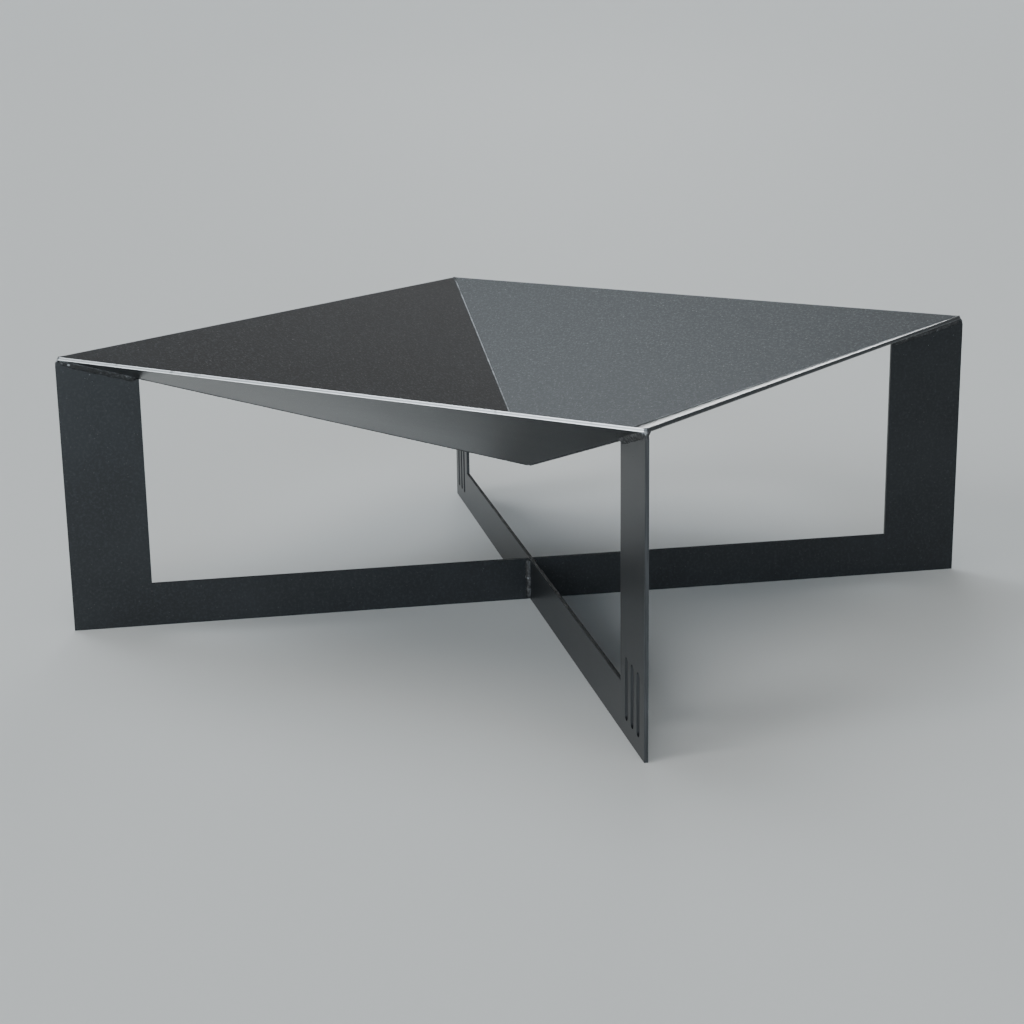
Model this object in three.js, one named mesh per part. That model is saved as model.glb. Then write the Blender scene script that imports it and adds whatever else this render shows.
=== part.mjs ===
// Square steel fire pit: a shallow inverted-pyramid bowl of four flat sheet panels,
// carried at its corners by two flat U-shaped plates that cross at the middle.
// Millimetres, +Z up. Origin on the ground under the bowl's lowest point.
// The bowl's sides run along X and Y; the two plates stand on its diagonals.
import * as THREE from 'three';

// Driving dimensions
const RIM_SIDE = 750;
const RIM_HEIGHT = 317;
const BOWL_DEPTH = 150;
const SHEET = 4;
const PLATE = 4;
const PLATE_HALF_LENGTH = 534;
const LEG_WIDTH = 90;
const RAIL_HEIGHT = 50;
const LEG_CORNER_RADIUS = 5;
const GAP = 0.3;

// Plain round-ended slots near the feet of the slotted plate
const SLOT_WIDTH = 11;
const SLOT_LENGTH = 64;
const SLOT_PITCH = 22;
const SLOTS_PER_LEG = 3;
const SLOT_BOTTOM = 17;

// Welds
const SEAM_CAP_HALF_WIDTH = 1.9;
const SEAM_CAP_HEIGHT = 0.45;
const SEAM_APEX_CLEARANCE = 3;
const SEAM_RIM_CLEARANCE = 2;
const FILLET_LEG = 5;
const FILLET_BULGE = 0.5;
const LEG_WELD_INSET = 2;
const CROSS_WELD_END_CLEARANCE = 1.5;

// Bowl geometry worked out from the driving dimensions
const HALF_SIDE = RIM_SIDE / 2;
const HALF_DIAGONAL = HALF_SIDE * Math.SQRT2;
const APEX_HEIGHT = RIM_HEIGHT - BOWL_DEPTH;
const PANEL_TILT = Math.atan2(BOWL_DEPTH, HALF_SIDE);
const PANEL_SLOPE_LENGTH = Math.hypot(BOWL_DEPTH, HALF_SIDE);
const RIDGE_TILT = Math.atan2(BOWL_DEPTH, HALF_DIAGONAL);
const RIDGE_LENGTH = Math.hypot(BOWL_DEPTH, HALF_DIAGONAL);

// Half the angle of the open groove that two square-cut panels leave under their valley
const GROOVE_HALF_ANGLE = Math.acos(Math.cos(PANEL_TILT) ** 2) / 2;

// Distances below the valley line, square to it: the point where the panels' undersides
// would meet, the crown of the seam weld, and the sloping top edge of a leg
const UNDERSIDE_DEPTH = SHEET / Math.cos(GROOVE_HALF_ANGLE);
const SEAM_CROWN_DEPTH = UNDERSIDE_DEPTH + SEAM_CAP_HEIGHT;
const LEG_TOP_DEPTH = SEAM_CROWN_DEPTH + GAP;

const QUARTER_TURN = Math.PI / 2;
const CORNERS = ['front_right', 'back_right', 'back_left', 'front_left'];
const SIDES = ['front', 'right', 'back', 'left'];

const group = new THREE.Group();

function paint(color, roughness, metalness) {
  return new THREE.MeshStandardMaterial({ color, roughness, metalness });
}

const bowlPaint = () => paint(0x35393c, 0.5, 0.35);
const framePaint = () => paint(0x2a2d30, 0.5, 0.35);
const weldPaint = () => paint(0x303336, 0.6, 0.35);

function named(name, geometry, material) {
  const mesh = new THREE.Mesh(geometry, material);
  mesh.name = name;
  return mesh;
}

function extrude(shape, depth, curveSegments = 8) {
  return new THREE.ExtrudeGeometry(shape, { depth, bevelEnabled: false, curveSegments });
}

function polygon(points) {
  return new THREE.Shape(points.map(([x, y]) => new THREE.Vector2(x, y)));
}

// One flat triangle of sheet, cut square. Its inner face lies on the bowl's inside, and
// its two sloping edges stand half a gap back from the valleys.
function panelGeometry() {
  const halfApexAngle = Math.atan2(HALF_SIDE, PANEL_SLOPE_LENGTH);
  const apexInset = GAP / 2 / Math.sin(halfApexAngle);
  const cornerInset = GAP / 2 / Math.cos(halfApexAngle);
  const outline = polygon([
    [0, apexInset],
    [HALF_SIDE - cornerInset, PANEL_SLOPE_LENGTH],
    [cornerInset - HALF_SIDE, PANEL_SLOPE_LENGTH],
  ]);
  return extrude(outline, SHEET);
}

function addBowlPanels() {
  SIDES.forEach((side, index) => {
    const turn = new THREE.Group();
    turn.rotation.z = index * QUARTER_TURN;
    const panel = named(`bowl_panel_${side}`, panelGeometry(), bowlPaint());
    panel.position.z = APEX_HEIGHT;
    panel.rotation.x = Math.PI - PANEL_TILT;
    turn.add(panel);
    group.add(turn);
  });
}

// A group turned so that its +X runs out along the diagonal to one corner of the bowl
function cornerGroup(index) {
  const turn = new THREE.Group();
  turn.rotation.z = (index - 0.5) * QUARTER_TURN;
  group.add(turn);
  return turn;
}

// Sets a mesh that was extruded along +Z on the underside of a ridge, starting the given
// distance from the apex. The section's x runs across the ridge, its y away from the bowl.
function placeAlongRidge(mesh, distance) {
  const along = new THREE.Vector3(Math.cos(RIDGE_TILT), 0, Math.sin(RIDGE_TILT));
  const away = new THREE.Vector3(Math.sin(RIDGE_TILT), 0, -Math.cos(RIDGE_TILT));
  const across = new THREE.Vector3().crossVectors(away, along);
  const basis = new THREE.Matrix4().makeBasis(across, away, along);
  mesh.quaternion.setFromRotationMatrix(basis);
  mesh.position.set(0, 0, APEX_HEIGHT).addScaledVector(along, distance);
}

// Depth below the valley of a line parallel to a panel's underside, at a distance across
function underside(across, clearance) {
  const reach = (SHEET + clearance) / Math.cos(GROOVE_HALF_ANGLE);
  return reach - across * Math.tan(GROOVE_HALF_ANGLE);
}

// The weld that fills the groove between two panels: a wedge with a low cap over it
function seamSection() {
  const sideInset = GAP / 2 / Math.cos(GROOVE_HALF_ANGLE);
  const wedgeHalfWidth = (depth) => depth * Math.tan(GROOVE_HALF_ANGLE) - sideInset;
  const rootDepth = SHEET / 4;
  const neckDepth = SHEET * Math.cos(GROOVE_HALF_ANGLE);
  const neck = wedgeHalfWidth(neckDepth);
  const cap = SEAM_CAP_HALF_WIDTH;
  const right = [
    [wedgeHalfWidth(rootDepth), rootDepth],
    [neck, neckDepth],
    [neck, underside(neck, GAP)],
    [cap, underside(cap, GAP)],
    [cap * 0.9, underside(cap, GAP) + GAP],
    [cap * 0.5, SEAM_CROWN_DEPTH - GAP / 4],
  ];
  const left = right.map(([x, y]) => [-x, y]).reverse();
  return polygon([...right, [0, SEAM_CROWN_DEPTH], ...left]);
}

function addSeamWelds() {
  const length = RIDGE_LENGTH - SEAM_APEX_CLEARANCE - SEAM_RIM_CLEARANCE;
  CORNERS.forEach((corner, index) => {
    const weld = named(`seam_weld_${corner}`, extrude(seamSection(), length), weldPaint());
    placeAlongRidge(weld, SEAM_APEX_CLEARANCE);
    cornerGroup(index).add(weld);
  });
}

// Height of a leg's sloping top edge at a distance out along the diagonal
function legTopHeight(out) {
  return APEX_HEIGHT - LEG_TOP_DEPTH / Math.cos(RIDGE_TILT) + out * Math.tan(RIDGE_TILT);
}

// A capsule-shaped hole, standing upright
function slotPath(centre, bottom) {
  const radius = SLOT_WIDTH / 2;
  const path = new THREE.Path();
  path.moveTo(centre - radius, bottom + radius);
  path.absarc(centre, bottom + radius, radius, Math.PI, 2 * Math.PI, false);
  path.absarc(centre, bottom + SLOT_LENGTH - radius, radius, 0, Math.PI, false);
  path.closePath();
  return path;
}

// The U outline of a frame plate: two wide legs with sloping tops, joined by a low rail.
// The half-lap notch at the middle opens upward or downward.
function plateShape(notchOpensUp) {
  const inner = PLATE_HALF_LENGTH - LEG_WIDTH;
  const notch = PLATE / 2 + GAP;
  const lapHeight = RAIL_HEIGHT / 2;
  const radius = LEG_CORNER_RADIUS;
  const arcX = PLATE_HALF_LENGTH - radius;
  const arcZ = legTopHeight(arcX) - radius / Math.cos(RIDGE_TILT);
  const shape = new THREE.Shape();
  shape.moveTo(-PLATE_HALF_LENGTH, 0);
  if (!notchOpensUp) {
    shape.lineTo(-notch, 0);
    shape.lineTo(-notch, lapHeight + GAP / 2);
    shape.lineTo(notch, lapHeight + GAP / 2);
    shape.lineTo(notch, 0);
  }
  shape.lineTo(PLATE_HALF_LENGTH, 0);
  shape.absarc(arcX, arcZ, radius, 0, QUARTER_TURN + RIDGE_TILT, false);
  shape.lineTo(inner, legTopHeight(inner));
  shape.lineTo(inner, RAIL_HEIGHT);
  if (notchOpensUp) {
    shape.lineTo(notch, RAIL_HEIGHT);
    shape.lineTo(notch, lapHeight - GAP / 2);
    shape.lineTo(-notch, lapHeight - GAP / 2);
    shape.lineTo(-notch, RAIL_HEIGHT);
  }
  shape.lineTo(-inner, RAIL_HEIGHT);
  shape.lineTo(-inner, legTopHeight(inner));
  shape.absarc(-arcX, arcZ, radius, QUARTER_TURN - RIDGE_TILT, Math.PI, false);
  shape.closePath();
  return shape;
}

function addLegSlots(shape) {
  const legCentre = PLATE_HALF_LENGTH - LEG_WIDTH / 2;
  for (const side of [-1, 1]) {
    for (let slot = 0; slot < SLOTS_PER_LEG; slot += 1) {
      const offset = (slot - (SLOTS_PER_LEG - 1) / 2) * SLOT_PITCH;
      shape.holes.push(slotPath(side * legCentre + offset, SLOT_BOTTOM));
    }
  }
}

// Stands a plate upright on the diagonal at the given angle to +X
function addPlate(name, shape, angle) {
  const geometry = extrude(shape, PLATE);
  geometry.translate(0, 0, -PLATE / 2);
  const turn = new THREE.Group();
  turn.rotation.z = angle;
  const plate = named(name, geometry, framePaint());
  plate.rotation.x = QUARTER_TURN;
  turn.add(plate);
  group.add(turn);
}

function addFramePlates() {
  const plain = plateShape(true);
  addPlate('frame_plate_plain', plain, QUARTER_TURN / 2);
  const slotted = plateShape(false);
  addLegSlots(slotted);
  addPlate('frame_plate_slotted', slotted, -QUARTER_TURN / 2);
}

// A fillet weld's section: two legs from the root corner, and a face that bulges a little.
// The legs point along the unit vectors a and b.
function filletSection(root, a, b) {
  const at = (alongA, alongB) => [
    root[0] + a[0] * alongA + b[0] * alongB,
    root[1] + a[1] * alongA + b[1] * alongB,
  ];
  const middle = FILLET_LEG / 2 + FILLET_BULGE;
  return polygon([at(0, 0), at(FILLET_LEG, 0), at(middle, middle), at(0, FILLET_LEG)]);
}

// Two fillets to each leg, one on each face, between the leg and the panel over it
function addLegWelds() {
  const start = (PLATE_HALF_LENGTH - LEG_WIDTH + LEG_WELD_INSET) / Math.cos(RIDGE_TILT);
  const end = (PLATE_HALF_LENGTH - 2 * LEG_CORNER_RADIUS) / Math.cos(RIDGE_TILT);
  const tilt = GROOVE_HALF_ANGLE;
  const rootAcross = PLATE / 2 + GAP;
  CORNERS.forEach((corner, index) => {
    const turn = cornerGroup(index);
    for (const face of [-1, 1]) {
      const overPanel = SIDES[(index + (face > 0 ? 0 : 1)) % SIDES.length];
      const root = [face * rootAcross, underside(rootAcross, GAP)];
      const alongLeg = [0, 1];
      const alongPanel = [face * Math.cos(tilt), -Math.sin(tilt)];
      const section = filletSection(root, alongLeg, alongPanel);
      const name = `leg_weld_${corner}_on_${overPanel}`;
      const weld = named(name, extrude(section, end - start), weldPaint());
      placeAlongRidge(weld, start);
      turn.add(weld);
    }
  });
}

// Four upright fillets in the corners where the two plates cross
function addCrossWelds() {
  const root = PLATE / 2 + GAP;
  const length = RAIL_HEIGHT - 2 * CROSS_WELD_END_CLEARANCE;
  SIDES.forEach((side, index) => {
    const section = filletSection([root, root], [1, 0], [0, 1]);
    const weld = named(`cross_weld_${side}`, extrude(section, length), weldPaint());
    weld.position.z = CROSS_WELD_END_CLEARANCE;
    const turn = new THREE.Group();
    turn.rotation.z = (index - 1.5) * QUARTER_TURN;
    turn.add(weld);
    group.add(turn);
  });
}

addBowlPanels();
addSeamWelds();
addFramePlates();
addLegWelds();
addCrossWelds();

export default group;
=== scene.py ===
import math
import random

import bmesh
import bpy
from mathutils import Matrix, Vector, noise


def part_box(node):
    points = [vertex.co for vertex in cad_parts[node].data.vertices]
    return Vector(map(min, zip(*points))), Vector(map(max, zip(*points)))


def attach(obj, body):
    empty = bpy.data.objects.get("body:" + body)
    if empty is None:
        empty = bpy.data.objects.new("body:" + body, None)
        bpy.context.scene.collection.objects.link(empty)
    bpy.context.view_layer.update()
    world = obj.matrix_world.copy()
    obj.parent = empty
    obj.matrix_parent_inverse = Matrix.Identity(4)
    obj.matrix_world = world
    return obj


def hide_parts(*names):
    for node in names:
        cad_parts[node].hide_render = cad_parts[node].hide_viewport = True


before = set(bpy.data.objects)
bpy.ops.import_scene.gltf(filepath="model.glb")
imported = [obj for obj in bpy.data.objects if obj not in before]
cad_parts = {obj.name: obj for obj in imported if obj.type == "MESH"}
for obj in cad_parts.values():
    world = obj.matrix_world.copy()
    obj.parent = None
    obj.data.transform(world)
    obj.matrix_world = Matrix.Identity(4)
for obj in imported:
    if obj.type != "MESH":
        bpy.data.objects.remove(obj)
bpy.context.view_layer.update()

CORNERS = ["front_right", "back_right", "back_left", "front_left"]
SIDES = ["front", "right", "back", "left"]
MM = 0.001

# ---------------------------------------------------------------- sizes, in millimetres
# The heights and the frame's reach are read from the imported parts, the rest come from the design.
panel_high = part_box("bowl_panel_front")[1]
plate_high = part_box("frame_plate_plain")[1]
cross_low, cross_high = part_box("cross_weld_front")
RIM_HEIGHT = panel_high.z / MM
HALF_SIDE = 375.0
HALF_DIAGONAL = HALF_SIDE * math.sqrt(2)
BOWL_DEPTH = 150.0
SHEET = 4.0
PLATE = 4.0
LEG_WIDTH = 90.0
PLATE_REACH = (plate_high.x + plate_high.y) / MM / math.sqrt(2) - PLATE / 2
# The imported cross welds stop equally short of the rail's lower and upper edges
RAIL_HEIGHT = cross_high.z / MM + cross_low.z / MM
APEX = Vector((0, 0, RIM_HEIGHT - BOWL_DEPTH))
RIDGE_TILT = math.atan2(BOWL_DEPTH, HALF_DIAGONAL)
RIDGE_LENGTH = math.hypot(BOWL_DEPTH, HALF_DIAGONAL)
PANEL_TILT = math.atan2(BOWL_DEPTH, HALF_SIDE)

# Half the angle of the open groove under each valley, and how deep it is
GROOVE = math.acos(math.cos(PANEL_TILT) ** 2) / 2
UNDERSIDE_DEPTH = SHEET / math.cos(GROOVE)

# Welds: the legs of the fillets, the pitch of the ripples, and the step between a bead's sections
LEG_WELD_LEGS = (5.4, 4.2)
LEG_WELD_PITCH = 2.3
CROSS_WELD_LEGS = (5.0, 5.0)
CROSS_WELD_PITCH = 2.5
SEAM_WELD_PITCH = 3.0
FILLET_STEP = 0.38
SEAM_STEP = 0.55

# How far the leg welds stop short of the leg's inner edge and of the frame's outer edge
LEG_WELD_INNER_GAP = 1.5
LEG_WELD_OUTER_GAP = 6.5

# How far the modelled cross welds stop short of the rail's lower and upper edges
CROSS_WELD_GAP = 1.0

# How far the seam welds stop short of the bowl's lowest point and of the rim's corner
SEAM_INNER_GAP = 0.6
SEAM_OUTER_GAP = 0.3

# The seam weld's half widths: the line of metal inside the bowl, the filled groove, the cap outside
SEAM_LINE_HALF = 0.80
SEAM_FILL_HALF = 0.9
SEAM_CAP_HALF = 2.7
SEAM_CAP_CROWN = 0.55

# The weld metal at the rim's corners: how far under the rim it starts and ends, how far it stands
# proud, half its width on the leg, how much wider it is at the rim, and where that widening ends
CAP_TOP = 0.12
CAP_DROP = 9.5
CAP_PROUD = 0.2
CAP_HALF = 2.06
CAP_WIDENING = 0.6
CAP_FILL_DROP = 4.3
CAP_FILL_FADE = 1.2


# ---------------------------------------------------------------- camera

# Place in metres, turns in radians, lens and sensor width in millimetres
CAMERA_PLACE = (1.2090, -1.8136, 0.6734)
CAMERA_YAW = math.radians(-34.262)
CAMERA_PITCH = math.radians(14.580)
CAMERA_ROLL = math.radians(-0.844)
CAMERA_LENS = 66.94
CAMERA_SENSOR = 36.0


def make_camera():
    yaw, pitch, roll = CAMERA_YAW, CAMERA_PITCH, CAMERA_ROLL
    ahead = Vector((math.sin(yaw) * math.cos(pitch), math.cos(yaw) * math.cos(pitch), -math.sin(pitch)))
    level = Vector((math.cos(yaw), -math.sin(yaw), 0))
    upright = level.cross(ahead)
    right = math.cos(roll) * level + math.sin(roll) * upright
    up = math.cos(roll) * upright - math.sin(roll) * level
    data = bpy.data.cameras.new("camera")
    data.lens = CAMERA_LENS
    data.sensor_width = CAMERA_SENSOR
    camera = bpy.data.objects.new("camera", data)
    bpy.context.scene.collection.objects.link(camera)
    turn = Matrix((right, up, -ahead)).transposed().to_4x4()
    camera.matrix_world = Matrix.Translation(CAMERA_PLACE) @ turn
    bpy.context.scene.camera = camera


# ---------------------------------------------------------------- materials

def new_material(name):
    material = bpy.data.materials.new(name)
    material.use_nodes = True
    return material, material.node_tree.nodes["Principled BSDF"]


class Nodes:
    """Short names for the few node kinds that the materials and the sky are built from."""

    def __init__(self, tree, coordinate="Object"):
        self.tree = tree
        self.place = self.new("ShaderNodeTexCoord").outputs[coordinate]

    def new(self, kind, **values):
        node = self.tree.nodes.new(kind)
        for key, value in values.items():
            setattr(node, key, value)
        return node

    def link(self, source, target):
        if isinstance(source, (int, float, tuple)):
            target.default_value = source
        else:
            self.tree.links.new(source, target)

    def stretched(self, scales):
        node = self.new("ShaderNodeVectorMath", operation="MULTIPLY")
        self.link(self.place, node.inputs[0])
        node.inputs[1].default_value = scales
        return node.outputs["Vector"]

    def noise(self, scale, detail=2.0, rough=0.5, place=None):
        node = self.new("ShaderNodeTexNoise")
        node.inputs["Scale"].default_value = scale
        node.inputs["Detail"].default_value = detail
        node.inputs["Roughness"].default_value = rough
        self.link(place or self.place, node.inputs["Vector"])
        return node.outputs["Fac"]

    def remap(self, value, low, high, out_low=0.0, out_high=1.0, smooth=False):
        node = self.new("ShaderNodeMapRange")
        node.interpolation_type = "SMOOTHSTEP" if smooth else "LINEAR"
        ends = {"From Min": low, "From Max": high, "To Min": out_low, "To Max": out_high}
        for name, number in ends.items():
            node.inputs[name].default_value = number
        self.link(value, node.inputs["Value"])
        return node.outputs["Result"]

    def math(self, operation, a, b=0.0):
        node = self.new("ShaderNodeMath", operation=operation)
        self.link(a, node.inputs[0])
        self.link(b, node.inputs[1])
        return node.outputs["Value"]

    def mix(self, factor, a, b):
        node = self.new("ShaderNodeMix", data_type="RGBA")
        self.link(factor, node.inputs["Factor"])
        self.link(a, node.inputs[6])
        self.link(b, node.inputs[7])
        return node.outputs[2]

    def bump(self, height, strength, distance, normal=None):
        node = self.new("ShaderNodeBump")
        node.inputs["Strength"].default_value = strength
        node.inputs["Distance"].default_value = distance
        self.link(height, node.inputs["Height"])
        if normal is not None:
            self.link(normal, node.inputs["Normal"])
        return node.outputs["Normal"]


def grey(level, blue=0.0):
    """A neutral colour, cooler by the given share."""
    return (level * (1 - blue), level, level * (1 + blue), 1)


def parts_of(n, vector):
    split = n.new("ShaderNodeSeparateXYZ")
    n.link(vector, split.inputs[0])
    return split.outputs["X"], split.outputs["Y"], split.outputs["Z"]


def surface_facing(n):
    return parts_of(n, n.new("ShaderNodeTexCoord").outputs["Normal"])


def rim_mask(n):
    """1 on the cut faces round the rim, which face outward and a little up, and 0 elsewhere. On the right
    side it falls nearly to 0, as painted shade: those cut faces keep their black paint there."""
    east, north, up = surface_facing(n)
    z = parts_of(n, n.place)[2]
    sideways = n.math("MAXIMUM", n.math("ABSOLUTE", east), n.math("ABSOLUTE", north))
    outward = n.remap(sideways, 0.55, 0.8, smooth=True)
    upward = n.remap(up, -0.2, 0.15, smooth=True)
    near_rim = n.remap(z, (RIM_HEIGHT - 6) * MM, (RIM_HEIGHT - 5) * MM)
    # Painted shade: the right-facing cut faces are kept as black paint, not steel, so that they look dark.
    right_side_painted_shade = n.remap(east, 0.4, 0.8, 1.0, 0.04)
    return n.math("MULTIPLY", n.math("MULTIPLY", outward, upward), n.math("MULTIPLY", near_rim, right_side_painted_shade))


def valley_mask(n):
    """1 on the top of the seam welds, inside the bowl, fading under the rim where paint covers them."""
    up = surface_facing(n)[2]
    z = parts_of(n, n.place)[2]
    above = n.math("GREATER_THAN", z, (RIM_HEIGHT - BOWL_DEPTH - 3) * MM)
    unpainted = n.remap(z, (RIM_HEIGHT - 7) * MM, (RIM_HEIGHT - 3) * MM, 1.0, 0.1)
    return n.math("MULTIPLY", n.remap(up, 0.55, 0.75, smooth=True), n.math("MULTIPLY", above, unpainted))


def cut_edge_masks(n):
    """1 on the upright, then on the level, cut edges of the frame plates, and 0 on their broad faces.
    The plain plate stands where x equals y, the slotted one where x equals -y."""
    east, north, up = surface_facing(n)
    x, y = parts_of(n, n.place)[:2]
    plain = n.math("LESS_THAN", n.math("ABSOLUTE", n.math("SUBTRACT", x, y)), 4 * MM)
    broad_plain = n.math("ABSOLUTE", n.math("SUBTRACT", east, north))
    broad_slotted = n.math("ABSOLUTE", n.math("ADD", east, north))
    difference = n.math("SUBTRACT", broad_plain, broad_slotted)
    broad = n.math("ADD", broad_slotted, n.math("MULTIPLY", plain, difference))
    edge = n.remap(broad, 1.2, 0.5, smooth=True)
    upright = n.remap(n.math("ABSOLUTE", up), 0.7, 0.3)
    level = n.remap(n.math("ABSOLUTE", up), 0.5, 0.8)
    return n.math("MULTIPLY", edge, upright), level


def dots(n, scale, radius, share):
    """Sparse round specks: 1 inside a speck. share is the part of the cells that hold one."""
    cells = n.new("ShaderNodeTexVoronoi")
    cells.inputs["Scale"].default_value = scale
    n.link(n.place, cells.inputs["Vector"])
    inside = n.remap(cells.outputs["Distance"], radius, 0.6 * radius, smooth=True)
    pick = n.new("ShaderNodeSeparateXYZ")
    n.link(cells.outputs["Color"], pick.inputs[0])
    chosen = n.math("LESS_THAN", pick.outputs["X"], share)
    return n.math("MULTIPLY", inside, n.math("MULTIPLY", chosen, pick.outputs["Y"]))


def bare_steel_with_arris_highlights(n, roughness):
    """Colour, roughness and fine level lines of bare, scoured steel, lightest along the rim's two arrises as
    painted highlights.
    """
    streaks = n.noise(1.0, 3, 0.6, n.stretched((14, 14, 1500)))
    blotch = n.noise(45, 3, 0.6)
    colour = n.mix(n.remap(streaks, 0.35, 0.65), grey(0.62, 0.04), grey(0.94, 0.04))
    colour = n.mix(n.remap(blotch, 0.62, 0.72, smooth=True), colour, grey(0.22, 0.03))
    # Painted highlights: the middle of the cut face is painted darker, so that its two arrises read as bright
    # lines.
    middle = (RIM_HEIGHT - SHEET * math.cos(PANEL_TILT) / 2) * MM
    from_middle = n.math("ABSOLUTE", n.math("SUBTRACT", parts_of(n, n.place)[2], middle))
    colour = n.mix(n.remap(from_middle, 1.1 * MM, 0.6 * MM, 0.0, 0.75, smooth=True), colour, grey(0.14, 0.12))
    return colour, n.remap(streaks, 0.3, 0.7, roughness - 0.08, roughness + 0.08), streaks


def paint_material(name, colour, pale, roughness, bare=None, edge_wear_and_highlight=None, dust_share=0.35,
                   dust_strength=0.65, patchy=0.0, coarse=1.0):
    """Satin black paint with fine grain, faint mottling and pale specks of dust.
    bare gives where the steel shows through, worn where cut edges are thinly painted and matt, the upright
    ones also paler as a painted highlight, patchy how much duller it gets in small patches, and coarse how
    strong its grain is."""
    material, shader = new_material(name)
    n = Nodes(material.node_tree)
    grain = n.noise(900, 3, 0.6)
    mottle = n.noise(330, 4, 0.65)
    cloud = n.noise(11, 5, 0.6)
    dust = n.math("ADD", dots(n, 150, 0.16, dust_share), dots(n, 420, 0.30, 0.6 * dust_share))
    tint = n.mix(n.remap(cloud, 0.35, 0.7), colour, pale)
    fleck = tuple((1 + 2.0 * coarse) * c for c in pale[:3]) + (1,)
    tint = n.mix(n.remap(mottle, 0.48, 0.70), tint, fleck)
    tint = n.mix(n.math("MULTIPLY", dust, dust_strength), tint, grey(0.20, -0.02))
    rough = n.math("ADD", n.remap(cloud, 0.3, 0.7, -0.01, 0.01), n.remap(mottle, 0.3, 0.7, -0.01, 0.02))
    rough = n.math("ADD", rough, roughness)
    if patchy:
        rough = n.math("ADD", rough, n.remap(n.noise(230, 2, 0.5), 0.42, 0.58, 0.0, patchy))
    normal = n.bump(mottle, 0.15 * coarse, 0.0003)
    normal = n.bump(grain, 0.25 * coarse, 0.00012, normal)
    if edge_wear_and_highlight:
        upright, level = edge_wear_and_highlight(n)
        scratches = n.noise(1.0, 3, 0.6, n.stretched((900, 900, 25)))
        # Partly painted highlight: the upright cut edges are paler, as thin paint and as a highlight along
        # them.
        thin = n.mix(n.remap(scratches, 0.3, 0.7), grey(0.022, 0.05), grey(0.055, 0.05))
        tint = n.mix(upright, tint, thin)
        tint = n.mix(level, tint, grey(0.013, 0.1))
        rough = n.math("ADD", rough, n.math("MULTIPLY", level, 0.35))
        n.link(n.remap(level, 0, 1, 0.30, 0.03), shader.inputs["Specular IOR Level"])
    if bare:
        mask = bare(n)
        steel, steel_rough, streaks = bare_steel_with_arris_highlights(n, 0.36)
        tint = n.mix(mask, tint, steel)
        blend = n.new("ShaderNodeMix", data_type="FLOAT")
        n.link(mask, blend.inputs["Factor"])
        n.link(rough, blend.inputs[2])
        n.link(steel_rough, blend.inputs[3])
        rough = blend.outputs[0]
        n.link(mask, shader.inputs["Metallic"])
        normal = n.bump(streaks, 0.25, 0.00008, normal)
    n.link(tint, shader.inputs["Base Color"])
    n.link(rough, shader.inputs["Roughness"])
    n.link(normal, shader.inputs["Normal"])
    shader.inputs["IOR"].default_value = 1.5
    return material


def weld_bare(n):
    """The dressed corners of the rim are partly bright, the valley welds here and there, and the
    other welds have a few bright flecks."""
    patches = n.remap(n.noise(60, 3, 0.6), 0.35, 0.65, 0.25, 0.7)
    bright = n.math("ADD", n.math("MULTIPLY", rim_mask(n), 0.28), n.math("MULTIPLY", valley_mask(n), patches))
    return n.math("MAXIMUM", bright, n.math("MULTIPLY", dots(n, 200, 0.36, 0.2), 0.5))


bowl_paint = paint_material("bowl_paint", grey(0.012, 0.07), grey(0.018, 0.07), 0.31, bare=rim_mask,
                            dust_share=0.6, dust_strength=0.75, coarse=1.4)
frame_paint = paint_material("frame_paint", grey(0.007, 0.12), grey(0.011, 0.12), 0.34, edge_wear_and_highlight=cut_edge_masks,
                             dust_share=0.08, dust_strength=0.15, coarse=0.35)
weld_paint = paint_material("weld_paint", grey(0.008, 0.05), grey(0.018, 0.03), 0.34, bare=weld_bare,
                            dust_share=0.5, dust_strength=0.8, patchy=0.35)


# ---------------------------------------------------------------- stage

# Large soft lights, far away. Bearing is clockwise from +Y and rise is above the floor, then the
# light's apparent width, all in degrees, its strength and its colour.
LIGHTS = {
    "front_left": (207, 25, 30, 1.3, (0.97, 1.0, 1.02)),
    "front_right": (146, 6, 30, 3.2, (0.86, 0.99, 1.10)),
    "left_low": (240, 8, 30, 0.5, (0.95, 1.0, 0.97)),
    "left_back_low": (285, 5, 26, 0.92, (1.0, 1.0, 1.0)),
    "back_low": (328, 3, 18, 1.15, (0.97, 1.0, 1.02)),
    "back_high": (340, 32, 30, 0.09, (1.0, 1.0, 1.0)),
    "left_high": (295, 58, 38, 0.92, (0.91, 1.0, 1.07)),
    "overhead": (150, 72, 44, 0.9, (1.0, 1.0, 0.98)),
}
# The sky is nearly black overhead, and as pale as the floor along the horizon
SKY = 0.03
HORIZON = 0.53
SKY_FADE = (0.04, 0.17)

# The floor's rings: radius and height, in metres
FLOOR_RINGS = ((15, 0), (20, 0.04), (25, 0.16), (30, 0.40), (35, 0.80), (40, 1.35))
FLOOR_COLOUR = (0.68, 0.69, 0.68, 1)
FLOOR_ROUGHNESS = 0.8
FLOOR_DROP = 0.0002


def make_lights():
    for name, (bearing, rise, width, strength, colour) in LIGHTS.items():
        data = bpy.data.lights.new(name, "SUN")
        data.angle = math.radians(width)
        data.energy = strength
        data.color = colour
        light = bpy.data.objects.new(name, data)
        bpy.context.scene.collection.objects.link(light)
        turn, lift = math.radians(bearing), math.radians(rise)
        source = Vector((math.cos(lift) * math.sin(turn), math.cos(lift) * math.cos(turn), math.sin(lift)))
        light.rotation_euler = source.to_track_quat("Z", "Y").to_euler()


def make_sky():
    world = bpy.data.worlds.new("studio")
    world.use_nodes = True
    n = Nodes(world.node_tree, "Generated")
    up = parts_of(n, n.place)[2]
    shade = n.mix(n.remap(up, *SKY_FADE, smooth=True), grey(HORIZON), grey(SKY))
    n.link(shade, world.node_tree.nodes["Background"].inputs["Color"])
    bpy.context.scene.world = world


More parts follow.
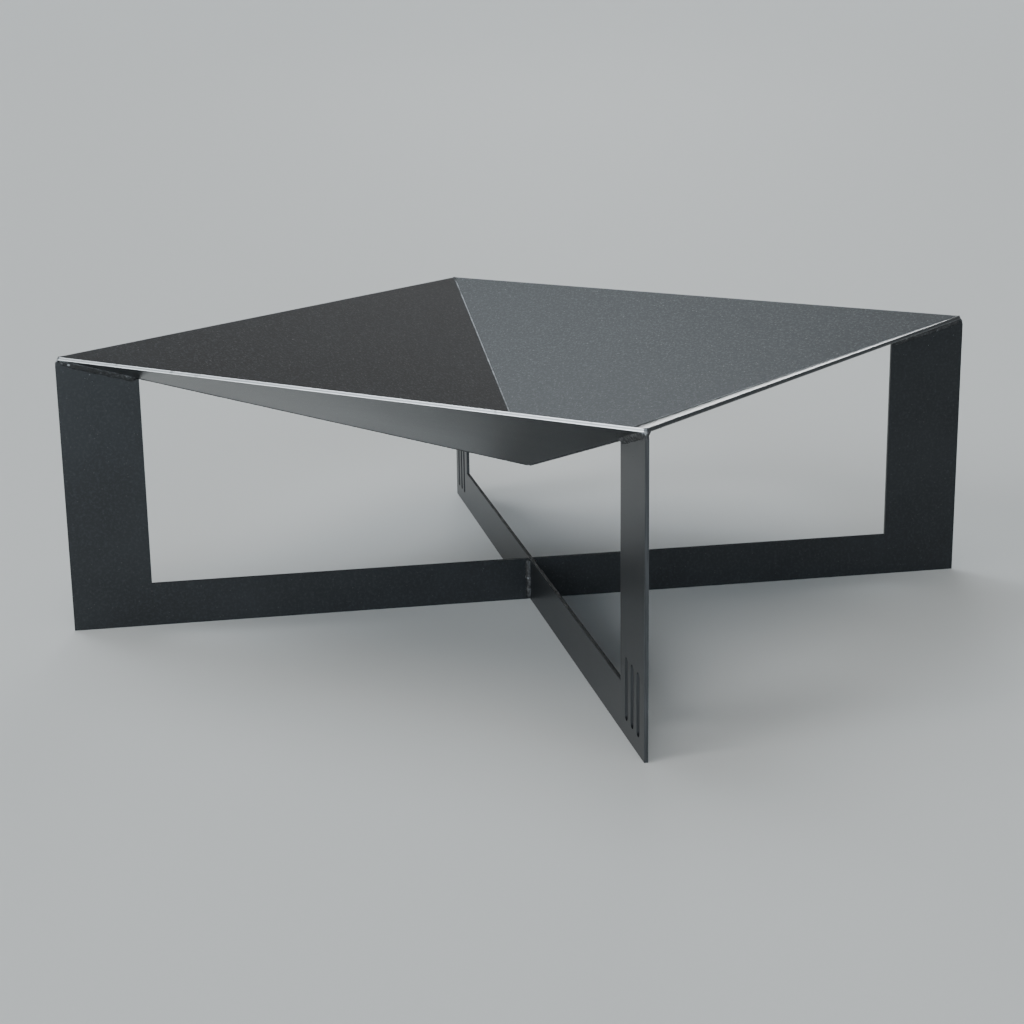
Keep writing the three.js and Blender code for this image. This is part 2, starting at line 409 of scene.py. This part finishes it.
def make_floor():
    """A plain floor that curves up a little a long way off, so that the horizon hardly shows."""
    mesh = bmesh.new()
    sectors = 96
    rings = []
    for radius, height in FLOOR_RINGS:
        ring = []
        for i in range(sectors):
            turn = math.tau * i / sectors
            ring.append(mesh.verts.new((radius * math.cos(turn), radius * math.sin(turn), height)))
        rings.append(ring)
    mesh.faces.new(rings[0])
    for inner, outer in zip(rings, rings[1:]):
        for i in range(sectors):
            after = (i + 1) % sectors
            mesh.faces.new((inner[i], outer[i], outer[after], inner[after])).smooth = True
    data = bpy.data.meshes.new("floor")
    mesh.to_mesh(data)
    mesh.free()
    floor = bpy.data.objects.new("floor", data)
    bpy.context.scene.collection.objects.link(floor)
    floor.location.z = -FLOOR_DROP
    material, shader = new_material("pale_floor")
    shader.inputs["Base Color"].default_value = FLOOR_COLOUR
    shader.inputs["Roughness"].default_value = FLOOR_ROUGHNESS
    data.materials.append(material)


# ---------------------------------------------------------------- plates and panels

def finish_plate(node, material, radius=0.5):
    """Rounds a cut plate's sharp edges a little, as blasting and paint do."""
    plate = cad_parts[node]
    for slot in plate.material_slots:
        slot.material = material
    weld = plate.modifiers.new("join_faces", "WELD")
    weld.merge_threshold = 0.02 * MM
    bevel = plate.modifiers.new("soft_edges", "BEVEL")
    bevel.width = radius * MM
    bevel.segments = 3
    bevel.limit_method = "ANGLE"
    bevel.angle_limit = math.radians(25)
    even = plate.modifiers.new("even_normals", "WEIGHTED_NORMAL")
    even.weight = 100


# ---------------------------------------------------------------- welds

class Ripples:
    """The overlapping scallops that a weld pool leaves: height 0 to 1 at a place along the bead."""

    def __init__(self, length, pitch, seed):
        draw = random.Random(seed)
        self.starts = [-2 * pitch]
        self.heights = []
        while self.starts[-1] < length + 2 * pitch:
            self.starts.append(self.starts[-1] + pitch * draw.uniform(0.75, 1.25))
            self.heights.append(draw.uniform(0.6, 1.0))
        self.pitch = pitch
        self.index = 0

    def height(self, distance, side):
        """side runs from -1 at one toe to 1 at the other; the scallops trail back toward the toes."""
        place = distance + 0.9 * self.pitch * side * side
        while self.index > 0 and self.starts[self.index] > place:
            self.index -= 1
        while self.index < len(self.heights) - 1 and self.starts[self.index + 1] <= place:
            self.index += 1
        start, end = self.starts[self.index], self.starts[self.index + 1]
        share = min(max((place - start) / (end - start), 0.0), 1.0)
        return self.heights[self.index] * math.sin(math.pi * share ** 0.7)


def wander(distance, wavelength, seed):
    """A smooth random value between about -1 and 1."""
    return noise.noise((distance / wavelength, 7.3 * seed, 0.5))


class Shell:
    """Collects the closed bodies of one weld, in millimetres."""

    def __init__(self):
        self.points = []
        self.faces = []

    def loft(self, rings):
        """Skins rings of points that all have the same number, and closes both ends."""
        first = len(self.points)
        count = len(rings[0])
        for ring in rings:
            self.points.extend(ring)
        for row in range(len(rings) - 1):
            low, high = first + row * count, first + (row + 1) * count
            for column in range(count):
                after = (column + 1) % count
                self.faces.append((low + column, low + after, high + after, high + column))
        last = first + (len(rings) - 1) * count
        for ring, start, flip in ((rings[0], first, True), (rings[-1], last, False)):
            middle = len(self.points)
            self.points.append(sum(ring, Vector()) / count)
            for column in range(count):
                pair = (start + column, start + (column + 1) % count)
                self.faces.append((pair[1], pair[0], middle) if flip else (pair[0], pair[1], middle))

    def spatter(self, centre, normal, radius):
        """A small ball of metal, flattened on the surface it stuck to."""
        aside = normal.orthogonal().normalized()
        ahead = normal.cross(aside)
        rings = []
        for row in range(1, 6):
            tilt = math.pi * row / 6
            ring = []
            for column in range(8):
                turn = math.tau * column / 8
                flat = radius * math.sin(tilt)
                lift = -0.75 * radius * math.cos(tilt)
                around = aside * math.cos(turn) + ahead * math.sin(turn)
                ring.append(centre + around * flat + normal * lift)
            rings.append(ring)
        self.loft(rings)

    def finish(self, name, node, material):
        data = bpy.data.meshes.new(name)
        data.from_pydata([point * MM for point in self.points], [], self.faces)
        mesh = bmesh.new()
        mesh.from_mesh(data)
        bmesh.ops.recalc_face_normals(mesh, faces=mesh.faces)
        mesh.to_mesh(data)
        mesh.free()
        data.polygons.foreach_set("use_smooth", [True] * len(data.polygons))
        data.materials.append(material)
        piece = bpy.data.objects.new(name, data)
        bpy.context.scene.collection.objects.link(piece)
        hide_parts(node)
        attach(piece, "root")


def bead_rings(length, step, place, section):
    """Rings along a straight bead, closely spaced at its rounded ends."""
    count = max(2, round(length / step))
    ends = [0.02, 0.15, 0.45, 1.0]
    between = [1.6 + (length - 3.2) * i / count for i in range(count + 1)]
    stops = ends + between + [length - end for end in reversed(ends)]
    return [[place(distance, x, y) for x, y in section(distance)] for distance in stops]


def end_taper(distance, length, reach):
    """1 along the bead, falling in a quarter ellipse to 0 at both ends."""
    near = min(distance, length - distance) / reach
    return 1.0 if near >= 1 else math.sqrt(max(0.0, 1 - (1 - near) ** 2))


def fillet_section(distance, length, legs, ripples, seed, bulge=0.25, ripple=0.16, wobble=0.16):
    """A fillet weld's section at one place: points (a, b) along the two legs of its corner,
    the first row on the visible face, the last three sunk into the metal behind it."""
    taper = end_taper(distance, length, 6.0)
    leg_a = legs[0] * (1 + wobble * wander(distance, 9, seed)) * (0.12 + 0.88 * taper)
    leg_b = legs[1] * (1 + wobble * wander(distance, 9, seed + 1)) * (0.12 + 0.88 * taper)
    crown = bulge * taper * (1 + 0.35 * wander(distance, 14, seed + 2))
    face_points = 9
    section = []
    for i in range(face_points):
        share = i / (face_points - 1)
        side = 2 * share - 1
        dome = 1 - side * side
        scallop = ripple * ripples.height(distance, side) * (0.25 + 0.75 * dome) * taper
        lump = 0.5 * ripple * wander(distance + 3 * side, 2.6, seed + 3)
        lift = crown * dome + scallop + lump * dome
        sink = -0.12 if i in (0, face_points - 1) else 0.0
        section.append((leg_a * (1 - share) + lift + sink, leg_b * share + lift + sink))
    hidden = 0.7
    return section + [(-hidden, leg_b * 0.7), (-hidden, -hidden), (leg_a * 0.7, -hidden)]


def corner_axes(index):
    """Along the ridge to a corner of the bowl, square away from it downward, and across it."""
    turn = Matrix.Rotation((index - 0.5) * math.pi / 2, 3, "Z")
    along = turn @ Vector((math.cos(RIDGE_TILT), 0, math.sin(RIDGE_TILT)))
    away = turn @ Vector((math.sin(RIDGE_TILT), 0, -math.cos(RIDGE_TILT)))
    across = turn @ Vector((0, -1, 0))
    return along, away, across


def underside(across):
    """Depth below the valley of the panel's underside at a distance to one side."""
    return UNDERSIDE_DEPTH - across * math.tan(GROOVE)


def make_leg_weld(index, face, seed):
    along, away, across = corner_axes(index)
    over = SIDES[(index + (0 if face > 0 else 1)) % len(SIDES)]
    start = (PLATE_REACH - LEG_WIDTH + LEG_WELD_INNER_GAP) / math.cos(RIDGE_TILT)
    length = (PLATE_REACH - LEG_WELD_OUTER_GAP) / math.cos(RIDGE_TILT) - start
    root = APEX + along * start + across * face * PLATE / 2 + away * underside(PLATE / 2)
    panel_way = across * face * math.cos(GROOVE) - away * math.sin(GROOVE)
    ripples = Ripples(length, LEG_WELD_PITCH, seed)

    def place(distance, a, b):
        return root + along * distance + away * a + panel_way * b

    def section(distance):
        return fillet_section(distance, length, LEG_WELD_LEGS, ripples, seed)

    shell = Shell()
    shell.loft(bead_rings(length, FILLET_STEP, place, section))
    draw = random.Random(seed)
    outward = across * face
    under = (away * math.cos(GROOVE) + across * face * math.sin(GROOVE)).normalized()
    for _ in range(7):
        distance = draw.uniform(4, length - 4)
        down = 6 + 14 * draw.random() ** 2
        shell.spatter(root + along * distance + away * down, outward, draw.uniform(0.25, 0.6))
    for _ in range(5):
        distance = draw.uniform(2, length - 2)
        out = 5.5 + 10 * draw.random() ** 2
        shell.spatter(root + along * distance + panel_way * out, under, draw.uniform(0.25, 0.55))
    corner = CORNERS[index]
    shell.finish(f"bead_{corner}_on_{over}", f"leg_weld_{corner}_on_{over}", weld_paint)


def make_cross_weld(index, seed):
    length = RAIL_HEIGHT - 2 * CROSS_WELD_GAP
    turn = Matrix.Rotation((index - 1.5) * math.pi / 2, 3, "Z")
    way_a = turn @ Vector((1, 0, 0))
    way_b = turn @ Vector((0, 1, 0))
    root = (way_a + way_b) * PLATE / 2 + Vector((0, 0, CROSS_WELD_GAP))
    ripples = Ripples(length, CROSS_WELD_PITCH, seed)

    def place(distance, a, b):
        return root + Vector((0, 0, distance)) + way_a * a + way_b * b

    def section(distance):
        return fillet_section(distance, length, CROSS_WELD_LEGS, ripples, seed,
                              bulge=0.35, ripple=0.65, wobble=0.3)

    shell = Shell()
    shell.loft(bead_rings(length, FILLET_STEP, place, section))
    draw = random.Random(seed)
    for way, other in ((way_a, way_b), (way_b, way_a)):
        for _ in range(5):
            out = 6 + 12 * draw.random() ** 2
            rise = draw.uniform(4, length - 4)
            shell.spatter(root + way * out + Vector((0, 0, rise)), other, draw.uniform(0.25, 0.6))
    shell.finish(f"bead_cross_{SIDES[index]}", f"cross_weld_{SIDES[index]}", weld_paint)


def seam_section(distance, length, ripples, seed):
    """The seam weld's section: x across the valley, y down from it. A thin line of metal shows
    inside the bowl, wider at the tack by the rim, and a rippled cap covers the groove outside."""
    tack = max(0.0, 1 - abs(distance - (length - 8)) / 10) ** 0.5 if distance > length - 18 else 0.0
    inner_half = SEAM_LINE_HALF + 0.15 * wander(distance, 6, seed) + 1.1 * tack
    taper = end_taper(distance, length, 3.0)
    cap_half = (SEAM_CAP_HALF + 0.35 * wander(distance, 10, seed + 1)) * (0.5 + 0.5 * taper)
    crown = (SEAM_CAP_CROWN + 0.12 * wander(distance, 12, seed + 2)) * taper
    section = []
    for i in range(5):
        side = i / 2 - 1
        x = inner_half * side
        dome = 1 - side * side
        lift = 0.22 + 0.10 * ripples.height(distance, side) + 0.25 * tack
        section.append((x, -abs(x) * math.tan(GROOVE) + 0.05 * (1 - dome) - lift * dome))
    section.append((SEAM_FILL_HALF, SHEET * 0.6))
    for i in range(7):
        side = 1 - i / 3
        x = cap_half * side
        dome = 1 - side * side
        scallop = 0.2 * ripples.height(distance, side) * dome * taper
        edge = underside(abs(x))
        section.append((x, edge - 0.12 * (1 - dome) + crown * dome + scallop))
    section.append((-SEAM_FILL_HALF, SHEET * 0.6))
    return section


def corner_cap(shell, index, seed):
    """Weld metal that fills the tip of the rim between two panels and runs down onto the leg's
    shoulder, dressed flush with the rim's cut faces."""
    along, _, across = corner_axes(index)
    out_way = Vector((along.x, along.y, 0)).normalized()
    rows = 26
    sides = [i / 7 - 1 for i in range(15)]
    rings = []
    for row in range(rows + 1):
        drop = CAP_DROP - (CAP_DROP - CAP_TOP) * row / rows
        rim_reach = HALF_DIAGONAL + drop * math.tan(PANEL_TILT) * math.sqrt(2) + CAP_PROUD
        leg_reach = PLATE_REACH + CAP_PROUD
        spare = leg_reach - rim_reach
        reach = leg_reach - (spare + math.sqrt(spare * spare + 0.8)) / 2
        fill = min(max((CAP_FILL_DROP - drop) / CAP_FILL_FADE, 0.0), 1.0)
        half = CAP_HALF + CAP_WIDENING * fill
        depth = min(4.0, 0.35 + drop / math.tan(RIDGE_TILT))

        def outline(side):
            y = half * side
            corner = math.sqrt(y * y + 0.15)
            nose = 1.0 * (1 - math.sqrt(1 - 0.97 * side * side))
            ragged = 0.12 * noise.noise((drop / 1.6, 2.5 * side, 3.1 * seed))
            return reach - fill * corner - (1 - fill) * nose - 0.5 * side ** 8 + ragged

        height = Vector((0, 0, RIM_HEIGHT - drop))
        ring = [out_way * outline(side) + across * half * side + height for side in sides]
        for side in (0.9, 0.45, 0.0, -0.45, -0.9):
            ring.append(out_way * (outline(side) - depth) + across * half * 0.8 * side + height)
        rings.append(ring)
    shell.loft(rings)


def make_seam_weld(index, seed):
    along, away, across = corner_axes(index)
    length = RIDGE_LENGTH - SEAM_INNER_GAP - SEAM_OUTER_GAP
    ripples = Ripples(length, SEAM_WELD_PITCH, seed)

    def place(distance, x, y):
        return APEX + along * (SEAM_INNER_GAP + distance) + across * x + away * y

    def section(distance):
        return seam_section(distance, length, ripples, seed)

    shell = Shell()
    shell.loft(bead_rings(length, SEAM_STEP, place, section))
    corner_cap(shell, index, seed)
    corner = CORNERS[index]
    shell.finish(f"bead_seam_{corner}", f"seam_weld_{corner}", weld_paint)


# ---------------------------------------------------------------- assembly

make_camera()
make_lights()
make_sky()
make_floor()
for side in SIDES:
    finish_plate(f"bowl_panel_{side}", bowl_paint)
for node in ("frame_plate_plain", "frame_plate_slotted"):
    finish_plate(node, frame_paint)
for index in range(4):
    make_seam_weld(index, 11 + index)
    make_cross_weld(index, 31 + index)
    for face in (1, -1):
        make_leg_weld(index, face, 51 + 2 * index + (face > 0))
